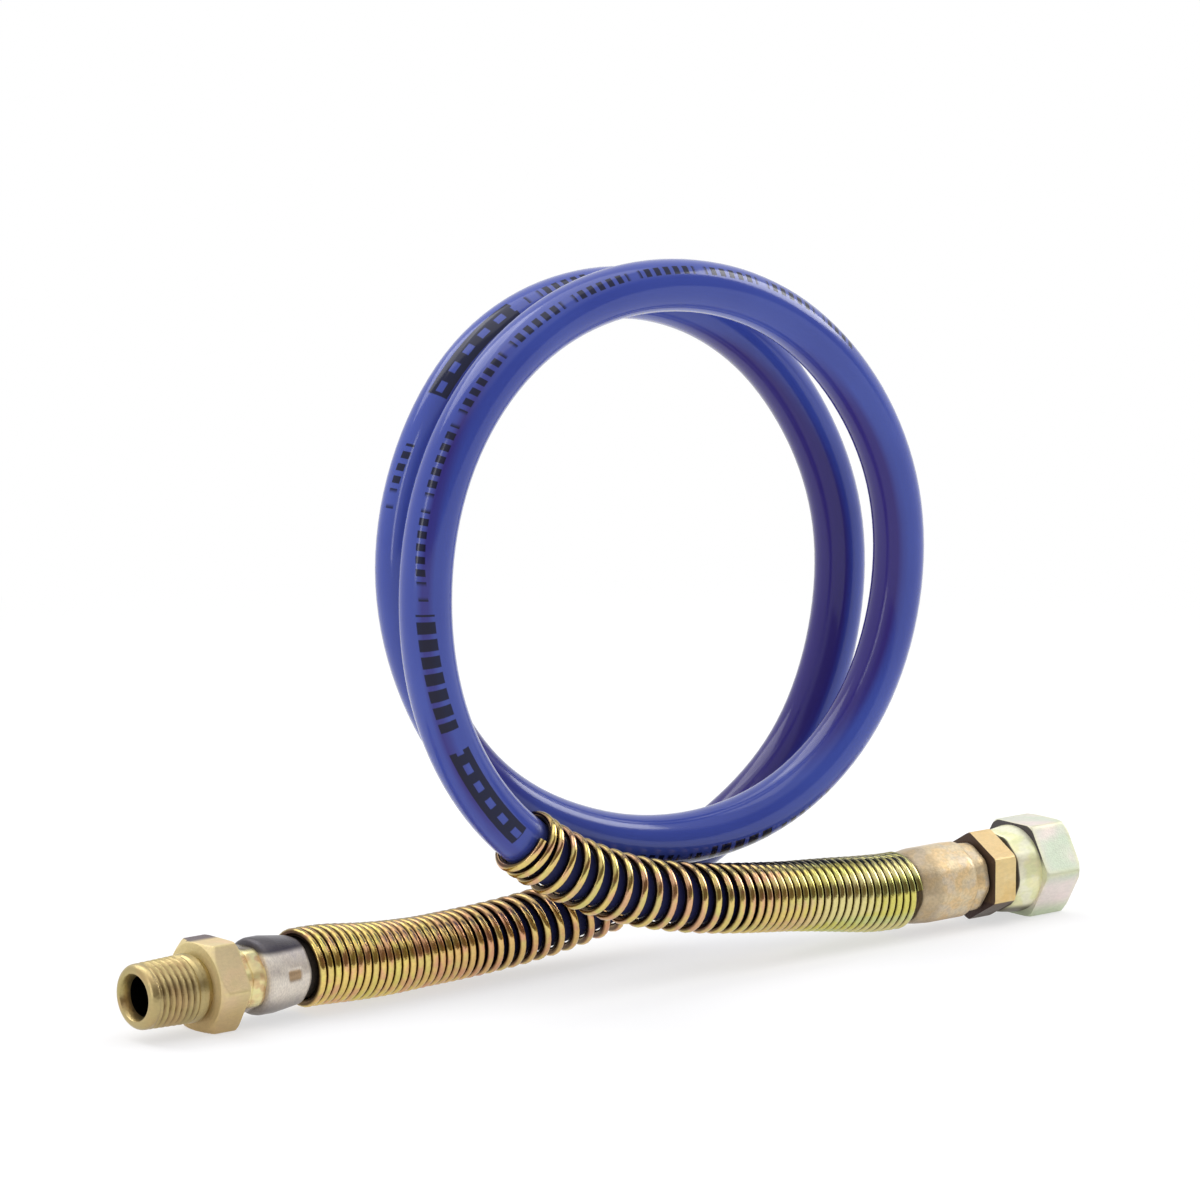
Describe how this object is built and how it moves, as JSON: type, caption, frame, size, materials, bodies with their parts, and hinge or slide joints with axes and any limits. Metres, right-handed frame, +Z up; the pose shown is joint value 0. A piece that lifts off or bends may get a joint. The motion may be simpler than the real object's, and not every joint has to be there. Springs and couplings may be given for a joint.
{
  "type": "paint whip hose",
  "caption": "Short high-pressure airless paint hose, coiled, with a male pipe thread, a swivel nut and wire spring guards over its ends.",
  "frame": {"origin": "on the surface that the two fittings lie on, under the middle of the box of the fittings and guards", "axes": "+X from the male end to the swivel end, along both fittings; +Y from the swivel end's side to the male end's side; +Z up"},
  "size_m": [0.2172, 0.0452, 0.144],
  "materials": {
    "hose": "smooth blue thermoplastic cover, slightly glossy",
    "male_fitting": "yellow zinc plated steel",
    "ferrule": "crimped steel, zinc plated",
    "guard": "yellow zinc plated spring wire",
    "swivel_fitting": "yellow zinc plated steel",
    "nut": "pale iridescent zinc plated steel"
  },
  "bodies": {
    "hose_assembly": {"hose": "hose", "male_insert": "male_fitting", "male_ferrule": "ferrule", "male_spring_guard": "guard", "swivel_insert": "swivel_fitting", "swivel_ferrule": "ferrule", "swivel_spring_guard": "guard"},
    "nut": {"swivel_nut": "nut"}
  },
  "joints": [
    {"name": "nut_swivel", "type": "hinge", "parent": "hose_assembly", "child": "nut", "pos_m": [0.0963, -0.01164, 0.00953], "axis": [1, 0, 0], "continuous": true}
  ]
}
